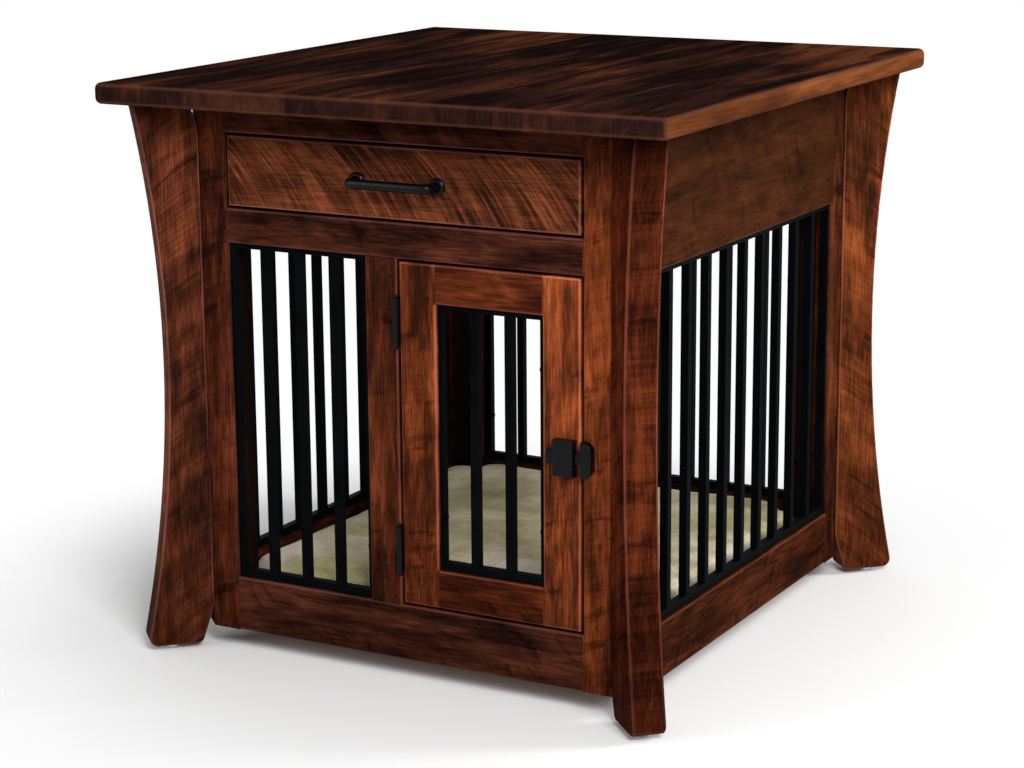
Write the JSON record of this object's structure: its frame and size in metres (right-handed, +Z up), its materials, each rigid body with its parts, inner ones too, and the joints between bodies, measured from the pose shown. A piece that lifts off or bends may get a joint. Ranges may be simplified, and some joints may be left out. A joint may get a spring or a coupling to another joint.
{
  "type": "pet crate end table",
  "caption": "Side table whose case is a barred pet crate with a swinging latched door, a floor pad and a drawer above, standing on corner legs set diagonally.",
  "frame": {"origin": "on the floor, below the middle of the tabletop", "axes": "+X right as seen from the front, +Y towards the back, +Z up"},
  "size_m": [0.706, 0.746, 0.665],
  "materials": {
    "stained_wood": "satin",
    "top_wood": "satin",
    "plain_wood": "matte",
    "black_steel": "satin",
    "black_hardware": "satin",
    "plated_steel": "satin",
    "pad_fabric": "matte"
  },
  "bodies": {
    "case": {"back_apron": "stained_wood", "back_bottom_rail": "stained_wood", "back_grille": "black_steel", "centre_stile": "stained_wood", "dust_panel": "plain_wood", "floor_pad": "pad_fabric", "floor_panel": "plain_wood", "front_bottom_rail": "stained_wood", "front_grille": "black_steel", "front_middle_rail": "stained_wood", "front_top_rail": "stained_wood", "glides": "plated_steel", "hinge_frame_leaves": "black_hardware", "hinge_frame_screws": "black_hardware", "hinge_pins": "black_hardware", "latch_strike": "black_hardware", "left_apron": "stained_wood", "left_bottom_rail": "stained_wood", "left_grille": "black_steel", "leg_back_left": "stained_wood", "leg_back_right": "stained_wood", "leg_front_left": "stained_wood", "leg_front_right": "stained_wood", "leg_screws": "plated_steel", "panel_cleats": "plain_wood", "post_back_left": "stained_wood", "post_back_right": "stained_wood", "post_front_left": "stained_wood", "post_front_right": "stained_wood", "right_apron": "stained_wood", "right_bottom_rail": "stained_wood", "right_grille": "black_steel", "short_screws": "plated_steel", "slide_cabinet_members": "plated_steel", "slide_packing": "plain_wood", "strike_screws": "black_hardware", "tabletop": "top_wood", "top_cleats": "plain_wood"},
    "door": {"door_hinge_stile": "stained_wood", "door_latch_stile": "stained_wood", "door_top_rail": "stained_wood", "door_bottom_rail": "stained_wood", "door_grille": "black_steel", "door_grille_screws": "plated_steel", "hinge_door_leaves": "black_hardware", "hinge_door_screws": "black_hardware", "latch_case": "black_hardware", "latch_screws": "black_hardware", "latch_spring": "plated_steel"},
    "latch_bolt": {"latch_bolt": "black_hardware"},
    "drawer": {"drawer_front": "stained_wood", "drawer_box_front": "plain_wood", "drawer_side_left": "plain_wood", "drawer_side_right": "plain_wood", "drawer_box_back": "plain_wood", "drawer_bottom": "plain_wood", "drawer_pull": "black_hardware", "pull_screws": "plated_steel", "slide_drawer_members": "plated_steel"},
    "slide_middle": {"slide_middle_members": "plated_steel"}
  },
  "joints": [
    {"name": "door_swing", "type": "hinge", "parent": "case", "child": "door", "pos_m": [-0.00125, -0.31, 0.287], "axis": [0, 0, -1], "range_deg": [0, 170]},
    {"name": "bolt_slide", "type": "slide", "parent": "door", "child": "latch_bolt", "axis": [1, 0, 0], "range_m": [0, 0.0045]},
    {"name": "drawer_slide", "type": "slide", "parent": "case", "child": "drawer", "axis": [0, -1, 0], "range_m": [0, 0.45]},
    {"name": "slide_travel", "type": "slide", "parent": "case", "child": "slide_middle", "axis": [0, -1, 0], "range_m": [0, 0.225]}
  ],
  "couplings": [
    {"joint": "slide_travel", "follows": "drawer_slide", "ratio": 0.5}
  ]
}
